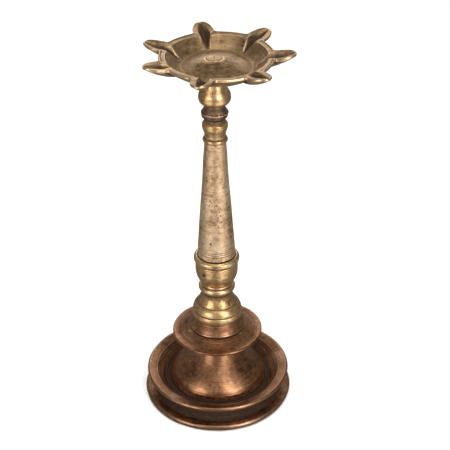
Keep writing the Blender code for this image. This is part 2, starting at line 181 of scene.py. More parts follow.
def brass(name, bright, body, dark, dirt_and_shade, rough, lathe=1.0, pitting=0.3, strokes=0.0):
    """Old brass: tone in patches, turned lines, pits, rubbed edges that also stand for painted highlights,
    and dirt with painted shade in the grooves and hollows.

    lathe, pitting and strokes weigh the turned lines, the pits and the upright tool marks.
    """
    material = bpy.data.materials.new(name)
    material.use_nodes = True
    tree = material.node_tree
    shader = tree.nodes["Principled BSDF"]
    crease, hollow, grime_and_shade = (attribute(tree, field) for field in ("crease", "hollow", "grime_and_shade"))
    patches, mottle, speck, turning, pits, marks = wear_patterns(tree)

    tone = weighted(tree, (patches, 0.8), (mottle, 0.55), (turning, 0.3 * lathe), (speck, 0.15))
    middle = 0.75 + 0.15 * lathe       # the tone's mean, since each noise is 0.5 on average
    color = blend(tree, between(tree, tone, middle - 0.2, middle + 0.02), (*dark, 1), (*body, 1))
    color = blend(tree, between(tree, tone, middle + 0.02, middle + 0.24), color, (*bright, 1))
    # Convex edges coloured bright: wear, and a painted highlight along them.
    rubbed_and_highlight = between(tree, crease, 0.02, 0.22)
    color = blend(tree, calc(tree, "MULTIPLY", rubbed_and_highlight, 0.8), color, (*bright, 1))
    # Painted shade and dirt: the dirt colour darkens grooves, wide hollows and the joints and undersides that
    # each piece marks; pits add to it and tool marks clear it.
    soil_and_shade_level = weighted(tree, (crease, -5.5), (hollow, -0.7), (grime_and_shade, 1.0), (mottle, 0.85),
                      (pits, pitting * 1.6), (marks, -0.5 * strokes))
    soil_and_shade = between(tree, soil_and_shade_level, 0.55, 1.35)
    color = blend(tree, calc(tree, "MULTIPLY", pits, 0.75 * pitting), color, (*dark, 1))
    color = blend(tree, soil_and_shade, color, (*dirt_and_shade, 1))

    relief = weighted(tree, (turning, 0.035 * lathe), (mottle, 0.05), (speck, 0.012),
                      (pits, -0.14 * pitting), (marks, -0.7 * strokes))
    bump = add_node(tree, "ShaderNodeBump", {"Height": relief, "Strength": 1.0, "Distance": MM})
    roughness = weighted(tree, (mottle, 0.16), (turning, 0.08), (soil_and_shade, 0.3), (rubbed_and_highlight, -0.06))
    roughness = calc(tree, "ADD", roughness, rough - 0.12, clamp=True)
    metallic = calc(tree, "SUBTRACT", 1.0, calc(tree, "MULTIPLY", soil_and_shade, 0.5))
    for socket, value in (("Base Color", color), ("Metallic", metallic), ("Roughness", roughness),
                          ("Normal", bump.outputs[0])):
        tree.links.new(value, shader.inputs[socket])
    return material


def make_finishes():
    """The finishes: one for each slot of the record, and a paler one for the handled shaft."""
    return {
        "base_brown": brass("brown brass", (0.62, 0.38, 0.25), (0.33, 0.155, 0.074), (0.12, 0.06, 0.032),
                            (0.07, 0.036, 0.02), 0.36, lathe=1.4, pitting=0.25, strokes=1.0),
        "column_gold": brass("golden brass", (0.95, 0.7, 0.43), (0.68, 0.425, 0.19), (0.28, 0.14, 0.065),
                             (0.075, 0.042, 0.02), 0.33, lathe=0.5, pitting=0.9),
        "shaft": brass("worn pale brass", (1.0, 0.83, 0.6), (0.76, 0.53, 0.325), (0.36, 0.2, 0.1),
                       (0.07, 0.045, 0.022), 0.5, lathe=1.2, pitting=1.5),
        "dark_brown": brass("darkened brass", (0.9, 0.68, 0.47), (0.25, 0.15, 0.09), (0.1, 0.06, 0.038),
                            (0.04, 0.024, 0.015), 0.42, lathe=0.4, pitting=0.5),
        "bare_brass": brass("threaded brass", (0.8, 0.58, 0.33), (0.6, 0.4, 0.2), (0.34, 0.2, 0.1),
                            (0.04, 0.03, 0.02), 0.36, lathe=0.5, pitting=0.2),
        "dish_gold": brass("dull brass", (0.76, 0.53, 0.3), (0.46, 0.295, 0.145), (0.2, 0.115, 0.055),
                           (0.06, 0.034, 0.018), 0.36, lathe=1.1, pitting=0.4),
    }


# ---------------------------------------------------------------- outlines

def bead(start, end, bulge, steps=24):
    """Half-round stretch between two points, standing out by bulge (in, if negative)."""
    start, end = np.array(start, float), np.array(end, float)
    along = end - start
    outwards = np.array([along[1], -along[0]]) / np.hypot(*along)
    angles = np.linspace(0, math.pi, steps + 1)
    return [tuple(start + along * (1 - math.cos(a)) / 2 + outwards * bulge * math.sin(a)) for a in angles]


def sweep(start, first_handle, second_handle, end, steps=24):
    """Points of one Bezier curve."""
    corners = np.array([start, first_handle, second_handle, end], float)
    t = np.linspace(0, 1, steps + 1)[:, None]
    weights = np.hstack([(1 - t) ** 3, 3 * (1 - t) ** 2 * t, 3 * (1 - t) * t ** 2, t ** 3])
    return [tuple(point) for point in weights @ corners]


def resample(outline, step):
    """Points along the outline no further apart than step."""
    run = [np.array(outline[0], float)]
    for start, end in zip(np.array(outline[:-1], float), np.array(outline[1:], float)):
        count = math.ceil(np.hypot(*(end - start)) / step)
        run += [start + (end - start) * i / count for i in range(1, count + 1)]
    return np.array(run)


def smoothed(points, passes):
    """The points after rounds of averaging each one with its neighbours; the ends stay."""
    points = points.copy()
    for _ in range(passes):
        points[1:-1] = (points[:-2] + 2 * points[1:-1] + points[2:]) / 4
    return points


def facing(points):
    """Unit normals of an outline that runs up its outer side."""
    along = np.gradient(points, axis=0)
    along /= np.maximum(np.hypot(along[:, 0], along[:, 1]), 1e-9)[:, None]
    return np.column_stack([along[:, 1], -along[:, 0]])


def cut_lines(points, lines):
    """Turn fine lines into the outline: (axis, place, depth, width) each, raised if depth is negative."""
    normals = facing(points)
    for axis, place, depth, width in lines:
        column = 0 if axis == "radius" else 1
        looks = normals[:, 1] > 0.2 if axis == "radius" else normals[:, 0] > 0.2
        distance = (points[:, column] - place) / width
        points = points - normals * (depth * np.exp(-distance ** 2) * looks)[:, None]
    return points


# ---------------------------------------------------------------- meshes

def uneven(verts, normals, wobble, dents):
    """Points of a hand-finished casting: out of true by wobble, and dented by dents."""
    shift = np.zeros(len(verts))
    for i, point in enumerate(verts):
        slow = noise.noise(Vector(point) * 0.05)
        quick = noise.noise(Vector(point) * 0.4 + Vector((7, 3, 1)))
        shift[i] = wobble * slow - dents * max(quick - 0.15, 0) * 2
    return verts + normals * shift[:, None]


def add_piece(name, verts, faces, values, node, slot, finish=None, place=None):
    """Link a fine mesh that stands for a CAD node and rides on its body; values are per vertex.

    finish names its material where that isn't the slot's own.
    """
    mesh = bpy.data.meshes.new(name)
    mesh.from_pydata((np.asarray(verts) * MM).tolist(), [], faces)
    if place:
        mesh.transform(place)
    mesh.validate()
    for key, numbers in values.items():
        layer = mesh.attributes.new(key, "FLOAT", "POINT")
        layer.data.foreach_set("value", np.asarray(numbers, np.float32))
    mesh.materials.append(FINISHES[finish or slot])
    mesh.shade_smooth()
    piece = bpy.data.objects.new(name, mesh)
    bpy.context.scene.collection.objects.link(piece)
    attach(piece, frame["nodes"][node]["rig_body"])
    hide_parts(node)


def grid_faces(columns, rows, wrap_rows):
    """Quads over columns (which close on themselves) of rows points."""
    faces = []
    for column in range(columns):
        here, there = column * rows, (column + 1) % columns * rows
        for row in range(rows if wrap_rows else rows - 1):
            after = (row + 1) % rows
            faces.append((here + row, there + row, there + after, here + after))
    return faces


def turned(node, visible, hidden, slot, lines=(), sides=SLIM_SIDES, step=FINE_STEP, soften=3,
           grime_and_shade=None, wobble=0.1, dents=0.05, shape=None, finish=None, place=None):
    """Replace a CAD node by a fine solid of revolution that carries its wear, dirt and painted shade.

    visible and hidden are (radius, height) runs that close on each other, visible up its outer side.
    grime(radius, height) gives the dirt and painted shade, shape(radius, angle, height) changes the radius.
    """
    shown = cut_lines(smoothed(resample(visible, step), soften), lines)
    rest = resample([visible[-1]] + list(hidden) + [visible[0]], HIDDEN_STEP)[1:-1]
    points = np.vstack([shown, rest])
    normals = np.vstack([facing(shown), np.zeros_like(rest)])
    # How far each shown point stands out of or sinks into its averaged outline, finely and broadly: sunk
    # points get painted shade and dirt, and points standing out on the fine run are coloured bright.
    crease, hollow = np.zeros(len(points)), np.zeros(len(points))
    for values, passes in ((crease, CREASE_PASSES), (hollow, HOLLOW_PASSES)):
        sunk = shown - smoothed(shown, passes)
        values[:len(shown)] = np.sum(sunk * facing(shown), axis=1)
    path = np.concatenate([[0], np.cumsum(np.hypot(*np.diff(points, axis=0).T))])
    # Dirt and painted shade, from the piece's own function.
    dirt_and_shade = np.array([grime_and_shade(r, h) if grime_and_shade else 0.0 for r, h in points])

    angles = np.repeat(np.linspace(0, math.tau, sides, endpoint=False), len(points))
    radii, heights = np.tile(points[:, 0], sides), np.tile(points[:, 1], sides)
    if shape:
        radii = shape(radii, angles, heights)
    c, s = np.cos(angles), np.sin(angles)
    verts = np.column_stack([radii * c, radii * s, heights])
    out = np.tile(normals, (sides, 1))
    out = np.column_stack([out[:, 0] * c, out[:, 0] * s, out[:, 1]])
    verts = uneven(verts, out, wobble, dents)
    values = {"crease": np.tile(crease, sides), "hollow": np.tile(hollow, sides),
              "path": np.tile(path, sides), "grime_and_shade": np.tile(dirt_and_shade, sides)}
    faces = grid_faces(sides, len(points), True)
    add_piece("fine_" + node, verts, faces, values, node, slot, finish, place)


def threaded(pitch, depth, top):
    """Shape function of a right-hand screw thread up to a level."""
    def shape(radius, angle, height):
        phase = (height / pitch - angle / math.tau) % 1
        crest = np.abs(2 * phase - 1)
        outer = (radius > 2) & (height < top)
        return radius - outer * depth * np.clip(1.3 * crest - 0.15, 0, 1)
    return shape


# ---------------------------------------------------------------- base

def make_foot():
    low, high = span("foot_plate")
    rim = reach("foot_plate")
    visible = [(62.5, low)] + bead((rim - 2.8, low), (rim - 2.8, low + 6), 2.8)
    visible += sweep((rim - 5, 6.6), (62.5, 6.9), (60.2, 7.4), (59, 9.5)) + [(59, high)]

    # Painted shade with dirt on the waist under the tray's rim and on the foot's top next to it; painted
    # shade along the underside at the floor.
    def grime_and_shade(radius, height):
        waist = 1.15 if height > 7.8 and radius < 60 else 0.0
        return max(waist, 0.8 * (radius < 62.2) * (height > 6), 0.9 * (height < 0.9))

    turned("foot_plate", visible, [(55.6, high), (55.6, 6.5), (61.5, 3.6)], "base_brown",
           lines=[("height", 1.2, 0.25, 0.35)], sides=192, grime_and_shade=grime_and_shade, wobble=0.3, dents=0.12)


def make_tray():
    seat = span("foot_plate")[1] + SEAM
    top = span("drip_tray")[1]
    lip = reach("drip_tray")
    visible = [(55.2, seat), (60.5, seat), (64.5, 20.8)]
    visible += bead((lip - 2.2, 21.2), (lip - 2.2, 25.6), 2.2)
    visible += sweep((60.5, 24.1), (57.6, 22.8), (54.5, 20), (49.8, 14.9)) + [(48.4, 13.8), (46.6, 13.6)]
    visible += sweep((45.8, 14.2), (46, 34), (18, 34), (17, 60), steps=60) + [(17.8, top)]
    hidden = [(SCREW_BORE, top), (SCREW_BORE, 50.5), (14, 50.5)]
    hidden += sweep((15.5, 46), (18, 31), (41, 32), (43, 12.5), steps=10) + [(46, 10.9), (49, 11.4)]
    lines = [("radius", 64.2, 0.12, 0.3), ("radius", 62.6, 0.1, 0.25), ("radius", 60.9, 0.14, 0.3),
             ("radius", 58.4, -0.3, 0.5), ("radius", 46.9, 0.4, 0.8), ("height", 21.8, 0.1, 0.4)]

    # Painted shadow in the trough round the bell, and painted shade under the rim's overhang and high on the
    # bell under the saucer.
    def grime_and_shade(radius, height):
        trough = math.exp(-((radius - 47.3) / 2.6) ** 2) * (height < 20)
        underside = 0.9 * (height < 20.4) * (radius > 54)
        return max(0.8 * trough, underside, 0.5 * (height > 52))

    turned("drip_tray", visible, hidden, "base_brown", lines=lines, sides=WIDE_SIDES, step=0.5,
           grime_and_shade=grime_and_shade, wobble=0.35, dents=0.1)


def make_saucer():
    seat, top = span("drip_tray")[1] + SEAM, span("drip_saucer")[1]
    lip = reach("drip_saucer")
    visible = [(18.6, seat), (20.5, 69.4), (32, 67.6)]
    visible += bead((lip - 1.4, 66.4), (lip - 1.4, 69.2), 1.4) + [(37, 69.5), (31, 71.6), (26.8, 73.5)]
    visible += [(24.4, 73.7), (24.4, top)]
    lines = [("radius", 38.6, 0.12, 0.3), ("radius", 35.4, 0.1, 0.25), ("radius", 33.1, 0.14, 0.3),
             ("radius", 30.4, 0.1, 0.25), ("radius", 27.2, 0.12, 0.5)]

    # Painted shade in the corner next to the seat ring and on the saucer's underside.
    def grime_and_shade(radius, height):
        return max(0.35 * (radius < 27.4), 0.7 * (height < 69) * (radius < lip - 3))

    turned("drip_saucer", visible, [(SCREW_BORE, top), (SCREW_BORE, seat)], "base_brown", lines=lines,
           sides=WIDE_SIDES, grime_and_shade=grime_and_shade, wobble=0.35, dents=0.12)


def make_seat_ring():
    seat, top = span("drip_saucer")[1] + SEAM, span("seat_ring")[1]
    edge = reach("seat_ring")
    visible = [(edge - 0.7, seat), (edge, seat + 0.9), (edge - 0.1, seat + 1.6)]
    visible += sweep((25.2, 77.4), (23.6, 78.8), (22.9, 81), (22.8, top)) + [(22.2, top)]
    # Painted shade along the ring's foot, where it meets the saucer.
    turned("seat_ring", visible, [(SCREW_BORE, top), (SCREW_BORE, seat)], "base_brown",
           lines=[("height", 77.3, 0.12, 0.3)], grime_and_shade=lambda r, h: 0.3 * (h < seat + 0.8),
           wobble=0.2, dents=0.1)


# ---------------------------------------------------------------- column

def make_baluster():
    seat, top = span("seat_ring")[1] + SEAM, span("baluster")[1]
    cup, lip = 19.5, 19.4
    visible = [(21.8, seat)] + bead((22.3, seat), (22.3, 92.9), reach("baluster") - 22.3)
    visible += [(21.9, 93.5)] + sweep((22.6, 94.1), (22.2, 96.9), (20.3, 99.2), (18.6, 100.5))
    visible += [(17.9, 100.9)] + sweep((17.9, 101.4), (17.4, 103.8), (15.2, 106.5), (14.2, 110))
    visible += bead((14.1, 114.4), (14.6, 120.8), 2.6) + bead((14.3, 121.2), (14.3, 123.6), 0.6, steps=10)
    visible += sweep((14.6, 124.2), (16.4, 125.8), (cup, 130.5), (cup, 137)) + [(19.4, 145.4)]
    visible += bead((lip, 145.9), (lip, 151.6), 20.85 - lip) + [(18.8, top), (17.7, top - 0.3)]
    lines = [("height", 93.6, 0.22, 0.4), ("height", 101, 0.12, 0.35), ("height", 121, 0.25, 0.35),
             ("height", 124.2, 0.2, 0.4), ("height", 145.7, 0.45, 0.45)]

    # Painted shade in the necks at 112.8 and 126.2, inside the top under the shaft, and darker low on the
    # bottom ring.
    def grime_and_shade(radius, height):
        shade = 0.55 * ridge(height, 126.2, 1.8) + 0.5 * ridge(height, 112.8, 1.4)
        return shade + 0.25 * (height < 90) + 0.9 * (height > top - 0.7) * (radius < 19)

    hidden = [(13.3, top), (13.3, 129.7), (SCREW_BORE, 129.7), (SCREW_BORE, seat)]
    turned("baluster", visible, hidden, "column_gold", lines=lines, grime_and_shade=grime_and_shade, wobble=0.25, dents=0.16)


def make_shaft():
    seat, top = span("baluster")[1] + SEAM, span("shaft")[1]
    visible = [(16.6, seat)] + sweep((17.3, seat + 0.6), (15.8, 178), (12.1, 222), (9.5, top - 1.2), steps=60)
    visible += [(9.2, top)]
    lines = [("height", 161.6, 0.25, 0.3), ("height", 159.9, 0.3, 0.35), ("height", 157.5, 0.3, 0.35),
             ("height", top - 3.0, 0.12, 0.3)]
    hidden = [(ROD_BORE, top), (ROD_BORE, 238.5), (0.2, 238.5), (0.2, 130), (13, 130), (13, seat)]
    # Painted shade at the joints: the cup's seat below and the collar above.
    turned("shaft", visible, hidden, "column_gold", lines=lines, wobble=0.3, dents=0.16, finish="shaft",
           grime_and_shade=lambda r, h: 0.9 * ridge(h, seat, 1.2) + 0.3 * (h > top - 1.2))


def make_pin():
    """Cross pin with its ends dressed flush with the cup."""
    bearing, height, radius, cup = math.radians(234), 138.7, 1.7, 19.85
    end = [(radius, cup - 0.1), (1.5, cup + 0.05), (0.8, cup + 0.12), (0.05, cup + 0.14)]
    outline = [(r, -along) for r, along in reversed(end)] + end
    lay_down = Matrix.Rotation(bearing, 4, "Z") @ Matrix.Rotation(math.pi / 2, 4, "Y")
    turned("shaft_pin", outline, [], "dark_brown", sides=32, soften=1, wobble=0, dents=0,
           grime_and_shade=lambda r, h: 4.0, place=Matrix.Translation((0, 0, height * MM)) @ lay_down)


def make_base_screw():
    low, high = span("base_screw")
    radius = reach("base_screw")
    visible = [(0.1, low), (radius - 1, low), (radius, low + 1.2), (radius, high), (0.1, high)]
    turned("base_screw", visible, [], "bare_brass", sides=72, step=0.35, soften=2,
           shape=threaded(3.0, 1.1, 87), wobble=0, dents=0, grime_and_shade=lambda r, h: 0.3)


# ---------------------------------------------------------------- neck

def make_neck():
    """The four small turned pieces between the shaft and the dish."""
    foot, top = span("shaft")[1] + SEAM, span("neck_collar")[1]
    collar = [(9.5, foot), (10.3, foot + 0.5)] + bead((10.2, foot + 0.7), (9.9, foot + 3.9), 0.9)
    collar += sweep((9.6, foot + 4.6), (9.4, foot + 5.6), (9.2, foot + 6.2), (9.2, top)) + [(9, top)]
    # Painted shade at the joint on the shaft and in the hollow under the bead.
    turned("neck_collar", collar, [(ROD_BORE, top), (ROD_BORE, foot)], "column_gold", wobble=0.15, soften=2,
           grime_and_shade=lambda r, h: 0.5 * (h < foot + 0.4) + 0.45 * ridge(h, top - 2, 1.8))

    foot, top = top + SEAM, span("neck_bead")[1]
    bulb = [(9, foot)] + sweep((9.3, foot + 0.5), (9.6, foot + 3.4), (11.2, foot + 5.2), (11.2, foot + 8.6))
    bulb += sweep((11.1, foot + 10.2), (10.2, foot + 11.6), (9, foot + 12.2), (8.4, top))
    # Painted shade at the joint below and on the bead's upward-facing top.
    turned("neck_bead", bulb, [(ROD_BORE, top), (ROD_BORE, foot)], "column_gold", wobble=0.15,
           grime_and_shade=lambda r, h: 0.5 * (h < foot + 1.5) + 0.55 * (h > foot + 10.6))

    foot, top = top + SEAM, span("neck_ring")[1]
    ring = [(8.4, foot), (10.2, foot + 1.5)] + bead((10.8, foot + 2.2), (10.8, foot + 7.8), 0.8)
    ring += sweep((10.4, foot + 8.8), (9.2, foot + 9.8), (8.8, foot + 11), (9.4, top - 0.6)) + [(9.4, top)]
    # Painted shade at the joint on the bead and a little on the top; the raised line is kept clean and
    # coloured bright, a painted highlight on the worn lip.
    turned("neck_ring", ring, [(ROD_BORE, top), (ROD_BORE, foot)], "dark_brown", wobble=0.5, dents=0.5,
           lines=[("height", foot + 6.2, -0.45, 1.0)], soften=2,
           grime_and_shade=lambda r, h: (h < foot + 1.4) + 0.2 * (h > foot + 10) - 1.8 * ridge(h, foot + 5.8, 1.6))

    foot, top = top + SEAM, span("knop")[1]
    belly = reach("knop")
    knop = [(9.5, foot)]
    knop += sweep((10.4, foot + 0.5), (12.8, foot + 1.4), (belly, foot + 3.4), (belly, foot + 6.6))
    knop += sweep((13.5, foot + 9.4), (12.2, foot + 13.2), (8, foot + 17.2), (7.2, top))
    # Painted shade at the joint on the ring and on the top under the dish.
    turned("knop", knop, [(ROD_BORE, top), (ROD_BORE, foot)], "column_gold", wobble=0.25, dents=0.1,
           grime_and_shade=lambda r, h: 0.8 * ridge(h, foot, 1.0) + 0.6 * (h > top - 3))


def make_neck_rod():
    """Threaded rod and its head, riveted over in the middle of the dish's mound."""
    low, high = span("neck_rod")
    head = reach("neck_rod")
    visible = [(0.1, low), (3.4, low), (4, low + 0.8), (4, high - 1.4)]
    visible += [(head - 0.2, high - 1.4), (head, high - 1.1)]
    visible += sweep((head - 0.2, high - 0.75), (5, high - 0.35), (2.5, high - 0.05), (1, high))
    visible += [(0.7, high - 0.35), (0.1, high - 0.45)]
    # Painted shade in the joint round the head's edge, and a darker middle.
    turned("neck_rod", visible, [], "dish_gold", sides=72, step=0.35, soften=3, wobble=0, dents=0.05,
           shape=threaded(2.0, 0.7, low + 12), grime_and_shade=lambda r, h: 1.1 * (r > head - 0.6) + 0.6 * (r < 0.9))


# ---------------------------------------------------------------- oil dish

RIM_RADIUS = 48.1
LEDGE_RADIUS = 42.5                # inner edge of the flat rim band
LEDGE_DROP = 1.2
RIM_THICKNESS = 2.2
FLOOR_RADIUS = 31.0
MOUND_RADIUS = 29.5
RIVET_HOLLOW_RADIUS = 7.1          # of the hollow that the rod's head fills
RIVET_HOLLOW_DEPTH = 1.55
BELLY_RADIUS = 30.0                # where the underside turns up towards the rim
BOSS_RADIUS = 8.5
SPOUT_ERRORS = (6, 0, 0, 1, -1, -4, 1)   # degrees that each spout is off its even place
FIRST_SPOUT = 153.3                # bearing in degrees
SPOUT_TIP = 65.0
SPOUT_ROOT = 50.0
SPOUT_HALF_WIDTH = 9.0
SPOUT_LIFT = 3.1
CHANNEL_START = 33.0
CHANNEL_HALF_WIDTH = 4.4
CHANNEL_TIP_HALF_WIDTH = 1.6
WING_SLOPE = 0.8                   # how far the wings dip towards the channel
HULL_THICKNESS = 2.2
ASKEW_SHIFT = 2.2                  # the bowl was cast off its hub's middle, towards +X
ASKEW_SLOPE = 0.035                # and leaning towards -Y
ASKEW_START = 10.0                 # radius where the hub ends
ASKEW_FULL = 22.0                  # radius from where all of the shift and lean counts
PATCH_START = 32.0                 # radius inside which the mesh is a plain round grid
ROOT_BEARING = 13.5                # degrees from a spout's middle to where it leaves the rim

DISH_BASE = span("knop")[1] + GAP
MOUND_TOP = span("neck_rod")[1]
RIM_TOP = MOUND_TOP + 2.2
FLOOR_LEVEL = RIM_TOP - 10.3
BELLY_LEVEL = DISH_BASE + 4.9

HUB = np.array([(ROD_BORE, DISH_BASE), (ROD_BORE, MOUND_TOP - RIVET_HOLLOW_DEPTH),
                (RIVET_HOLLOW_RADIUS, MOUND_TOP - RIVET_HOLLOW_DEPTH)])
TOP_RADII = np.linspace(RIVET_HOLLOW_RADIUS, PATCH_START, 44, endpoint=False)
TOP_SHARES = np.linspace(0, 1, 46)       # of the way from the round grid to the edge
UNDER_SHARES = np.linspace(0, 1, 22)
UNDER_RADII = np.linspace(PATCH_START, BOSS_RADIUS, 16)[1:]
EDGE_TURNS = np.radians(np.linspace(0, 180, 9))[1:-1]
EDGE_INSET = 0.9                         # how far the half-round edge stands out


def channel_half_width(along):
    return mix(CHANNEL_HALF_WIDTH, CHANNEL_TIP_HALF_WIDTH, smooth_step(along, RIM_RADIUS, SPOUT_TIP))


def spout_half_width(along):
    share = np.clip((along - SPOUT_ROOT) / (SPOUT_TIP - SPOUT_ROOT), 0, 1)
    return np.maximum(SPOUT_HALF_WIDTH * np.sqrt(1 - share ** 2), 0.1)


def spout_edge(along):
    """Height of a spout's outer edge, which curves up towards the tip."""
    return RIM_TOP + SPOUT_LIFT * np.clip((along - RIM_RADIUS) / (SPOUT_TIP - RIM_RADIUS), 0, 1) ** 1.5


def channel_floor(along):
    climb = np.clip((along - CHANNEL_START) / (SPOUT_TIP - CHANNEL_START), 0, 1)
    return mix(FLOOR_LEVEL, RIM_TOP + SPOUT_LIFT - 0.8, climb ** 1.8)


def bowl_top(radius):
    """Mound, floor, wall and rim band, without spouts."""
    mound = mix(MOUND_TOP, FLOOR_LEVEL, np.clip(radius / MOUND_RADIUS, 0, 1) ** 1.5)
    climb = np.clip((radius - FLOOR_RADIUS) / (LEDGE_RADIUS - FLOOR_RADIUS), 0, 1)
    wall = mix(FLOOR_LEVEL, RIM_TOP - LEDGE_DROP, climb ** 1.15)
    band = LEDGE_DROP * np.clip((radius - LEDGE_RADIUS) / (RIM_RADIUS - LEDGE_RADIUS), 0, 1)
    return np.where(radius < MOUND_RADIUS, mound, wall + band)


def upper_surface(radius, along, across):
    """Height of the top: the bowl or a spout's wings, less the wick channel, with the turned lines."""
    edge = spout_edge(along)
    crest = edge - WING_SLOPE
    half_channel = channel_half_width(along)
    wing_share = (across - half_channel) / np.maximum(spout_half_width(along) - half_channel, 0.1)
    wing = mix(crest, edge, np.clip(wing_share, 0, 1))
    surface = mix(bowl_top(radius), wing, smooth_step(along, LEDGE_RADIUS, SPOUT_ROOT))
    clear = smooth_step(across, 6.5, 8.5)
    surface += clear * (0.3 * ridge(radius, LEDGE_RADIUS + 0.3, 0.6) - 0.5 * ridge(radius, 46.2, 0.45))
    surface -= 0.12 * sum(ridge(radius, line, 0.3) for line in (28.7, 29.9, 31.1, 32.3))
    surface -= 0.12 * (ridge(radius, 8.6, 0.3) + ridge(radius, 27.2, 0.25))
    bottom = channel_floor(along)
    slope = (crest - bottom) / half_channel
    channel = bottom + slope * (np.sqrt(across ** 2 + 0.5) - 0.5)
    cut = np.where(along > CHANNEL_START, np.minimum(surface, channel), surface)
    lip = 0.3 * ridge(across, half_channel + 0.15, 0.45) * smooth_step(along, CHANNEL_START + 2, LEDGE_RADIUS)
    return cut + lip


def lower_surface(radius, along, across):
    """Height of the underside: the bowl, or a spout's keeled hull."""
    spread = np.clip((radius - BOSS_RADIUS) / (BELLY_RADIUS - BOSS_RADIUS), 0, 1)
    climb = np.clip((radius - BELLY_RADIUS) / (RIM_RADIUS - BELLY_RADIUS), 0, 1)
    bowl = mix(DISH_BASE, BELLY_LEVEL, spread ** 0.5)
    bowl = np.where(radius > BELLY_RADIUS, mix(BELLY_LEVEL, RIM_TOP - RIM_THICKNESS, climb ** 1.25), bowl)
    keel = channel_floor(along) - HULL_THICKNESS
    share = np.clip(across / spout_half_width(along), 0, 1)
    hull = mix(keel, spout_edge(along) - RIM_THICKNESS, share ** 1.5)
    mixed = mix(np.minimum(bowl, hull), hull, smooth_step(radius, RIM_RADIUS, SPOUT_ROOT))
    return np.where(along > CHANNEL_START, mixed, bowl)


def half_spout_paths(t):
    """Paths from the round grid to the edge, from a spout's middle to its root: (along, across)."""
    crest_end = math.asin(CHANNEL_TIP_HALF_WIDTH / SPOUT_HALF_WIDTH)

    def rim(angle):
        return np.array([SPOUT_ROOT + (SPOUT_TIP - SPOUT_ROOT) * math.cos(angle),
                         SPOUT_HALF_WIDTH * math.sin(angle)])

    def channel_path(share):
        across = share * CHANNEL_HALF_WIDTH
        start = math.sqrt(PATCH_START ** 2 - across ** 2)
        end = rim(math.asin(share * CHANNEL_TIP_HALF_WIDTH / SPOUT_HALF_WIDTH))
        along = mix(start, end[0], t)
        return np.column_stack([along, share * channel_half_width(along)])

    def round_start(bearing):
        return PATCH_START * np.array([math.cos(bearing), math.sin(bearing)])

    crest = channel_path(1.0)
    crest_bearing = math.asin(CHANNEL_HALF_WIDTH / PATCH_START)
    root_bearing = math.radians(ROOT_BEARING - 1)
    root = mix(round_start(root_bearing)[None], rim(math.pi / 2)[None], t[:, None])
    paths = [channel_path(share) for share in (0, 0.3, 0.55, 0.75, 0.9, 1)]
    for share in (0.04, 0.09, 0.15, 0.22, 0.3, 0.38, 0.46, 0.54, 0.62, 0.7, 0.78, 0.86, 0.93, 1):
        path = mix(crest, root, share)
        start = round_start(mix(crest_bearing, root_bearing, share)) - path[0]
        end = rim(mix(crest_end, math.pi / 2, share)) - path[-1]
        paths.append(path + (1 - t)[:, None] * start + t[:, None] * end)
    turn = math.radians(ROOT_BEARING)
    corner = RIM_RADIUS * np.array([math.cos(turn), math.sin(turn)])
    tangent = np.array([-math.sin(turn), math.cos(turn)])
    fillet = sweep(rim(math.pi / 2), (48.7, 9.0), tuple(corner - tangent), tuple(corner), steps=5)
    for index, end in enumerate(fillet[1:]):
        start = round_start(math.radians(ROOT_BEARING - 1 + 0.4 * (index + 1)))
        paths.append(mix(start[None], np.array(end)[None], t[:, None]))
    return paths


def dish_columns(t):
    """Columns round the dish as (bearing of their spout, path) pairs."""
    halves = half_spout_paths(t)
    bearings = [math.radians(FIRST_SPOUT + error + index * 360 / len(SPOUT_ERRORS))
                for index, error in enumerate(SPOUT_ERRORS)]
    inner, outer = math.radians(ROOT_BEARING + 1), math.radians(ROOT_BEARING)
    steps = 10
    columns = []
    for index, bearing in enumerate(bearings):
        following = bearings[(index + 1) % len(bearings)]
        room = (following - bearing) % math.tau
        columns += [(bearing, path * (1, -1)) for path in reversed(halves[1:])]
        columns += [(bearing, path) for path in halves]
        for step in range(1, steps):
            share = step / steps
            polar = ((PATCH_START, mix(inner, room - inner, share)),
                     (RIM_RADIUS, mix(outer, room - outer, share)))
            ends = [radius * np.array([math.cos(turn), math.sin(turn)]) for radius, turn in polar]
            path = mix(ends[0][None], ends[1][None], t[:, None])
            if share > 0.5:
                back = np.array([[math.cos(room), -math.sin(room)], [math.sin(room), math.cos(room)]])
                columns.append((following, path @ back))
            else:
                columns.append((bearing, path))
    return columns


def dish_section(top, under):
    """One column's run from the hub over the top and round the edge to the boss: (plan, height)."""
    outwards = (top[-1] - top[-3]) / np.hypot(*(top[-1] - top[-3]))
    pull = EDGE_INSET * outwards
    top = top - pull * smooth_step(TOP_SHARES, 0.6, 1)[:, None]
    under = (under - pull * smooth_step(UNDER_SHARES, 0.6, 1)[:, None])[::-1]
    start = top[0] / np.hypot(*top[0])
    edge = np.tile(top[-1], (len(EDGE_TURNS), 1))
    plan = np.vstack([start * TOP_RADII[:, None], top, edge, under, start * UNDER_RADII[:, None]])
    radius, across = np.hypot(plan[:, 0], plan[:, 1]), np.abs(plan[:, 1])
    count = len(TOP_RADII) + len(top)
    height = np.where(np.arange(len(plan)) < count, upper_surface(radius, plan[:, 0], across),
                      lower_surface(np.maximum(radius, BOSS_RADIUS), plan[:, 0], across))
    high, low = height[count - 1], height[count + len(EDGE_TURNS)]
    for index, turn in enumerate(EDGE_TURNS):
        height[count + index] = mix(high, low, (1 - math.cos(turn)) / 2)
        plan[count + index] += pull * math.sin(turn)
    return np.vstack([start * HUB[:, :1], plan]), np.concatenate([HUB[:, 1], height])


